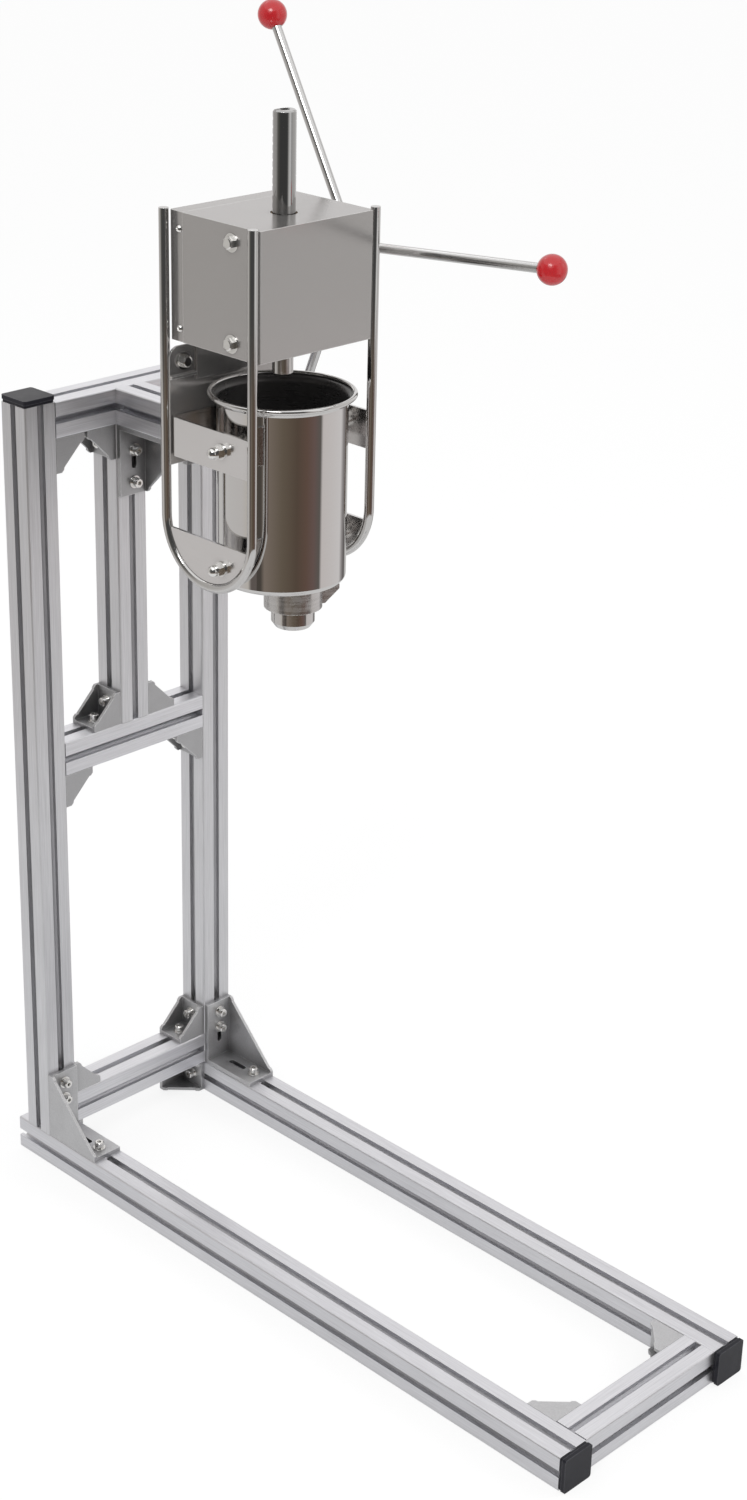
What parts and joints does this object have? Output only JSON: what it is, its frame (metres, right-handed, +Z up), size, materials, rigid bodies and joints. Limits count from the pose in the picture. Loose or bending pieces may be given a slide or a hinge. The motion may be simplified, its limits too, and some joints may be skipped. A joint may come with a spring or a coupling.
{
  "type": "churro maker",
  "caption": "Hand-cranked churro press: a rack and pinion in a sheet-metal gearbox pushes a rod into a steel barrel with a star nozzle, on an open stand of slotted aluminium profile.",
  "frame": {"origin": "on the floor under the middle of the front cross rail, in the stand's middle plane", "axes": "+Z up, +Y back from the front cross rail towards the posts, +X towards the crank's side"},
  "size_m": [0.2886, 0.8475, 1.3023],
  "materials": {
    "anodised": "extruded, satin anodised",
    "die_cast": "die cast, tumbled",
    "black_plastic": "moulded, fine grain",
    "fastener": "bright stainless fasteners",
    "brushed_sheet": "brushed stainless sheet",
    "polished_steel": "polished stainless",
    "gear_steel": "machined, lightly greased",
    "bronze": "turned",
    "seal_rubber": "food-grade silicone",
    "red_plastic": "moulded, glossy"
  },
  "bodies": {
    "stand": {"base_rail_left": "anodised", "base_rail_right": "anodised", "front_cross_rail": "anodised", "post_left": "anodised", "post_right": "anodised", "bottom_cross_rail": "anodised", "middle_cross_rail": "anodised", "top_cross_rail": "anodised", "centre_post": "anodised", "arm_rail": "anodised", "rail_end_caps": "black_plastic", "post_caps": "black_plastic", "upper_corner_brackets": "die_cast", "lower_corner_brackets": "die_cast", "head_corner_brackets": "die_cast", "base_brackets": "die_cast", "arm_bracket": "die_cast", "frame_screws": "fastener", "frame_washers": "fastener", "slot_nuts": "fastener", "head_nuts": "fastener", "gear_housing": "brushed_sheet", "rear_cover": "brushed_sheet", "cover_screws": "fastener", "bearing_plate_left": "die_cast", "bearing_plate_right": "die_cast", "hex_bolts": "fastener", "shaft_bushes": "bronze", "guide_bushes": "bronze", "neck_bracket": "brushed_sheet", "back_plate": "brushed_sheet", "upper_band": "brushed_sheet", "lower_plate_left": "brushed_sheet", "lower_plate_right": "brushed_sheet", "bar_frame_left": "polished_steel", "bar_frame_right": "polished_steel", "barrel": "polished_steel", "barrel_studs": "fastener", "stud_washers": "fastener", "domed_nuts": "fastener", "outlet_spout": "polished_steel", "nozzle_gasket": "seal_rubber", "nozzle_cup": "polished_steel", "plunger": "polished_steel", "plunger_seal": "seal_rubber"},
    "crank": {"pinion_gear": "gear_steel", "pinion_pin": "fastener", "pinion_shaft": "polished_steel", "shaft_collar": "gear_steel", "handle_hub": "polished_steel", "hub_screw": "fastener", "lever_rod_1": "polished_steel", "lever_rod_2": "polished_steel", "lever_rod_3": "polished_steel", "ball_knob_1": "red_plastic", "ball_knob_2": "red_plastic", "ball_knob_3": "red_plastic"},
    "press_rod": {"rack_rod": "polished_steel", "plunger_spigot": "polished_steel"},
    "nozzle_lock": {"nozzle_ring": "polished_steel"}
  },
  "joints": [
    {"name": "crank_turn", "type": "hinge", "parent": "stand", "child": "crank", "pos_m": [0, 0.55, 1.08], "axis": [1, 0, 0], "range_deg": [-68.5, 504]},
    {"name": "rod_slide", "type": "slide", "parent": "stand", "child": "press_rod", "axis": [0, 0, 1], "range_m": [-0.11, 0.015]},
    {"name": "nozzle_twist", "type": "hinge", "parent": "stand", "child": "nozzle_lock", "pos_m": [0, 0.511, 0.745], "axis": [0, 0, 1], "range_deg": [-60, 0]}
  ],
  "couplings": [
    {"joint": "rod_slide", "follows": "crank_turn", "m_per_rad": -0.0125}
  ]
}
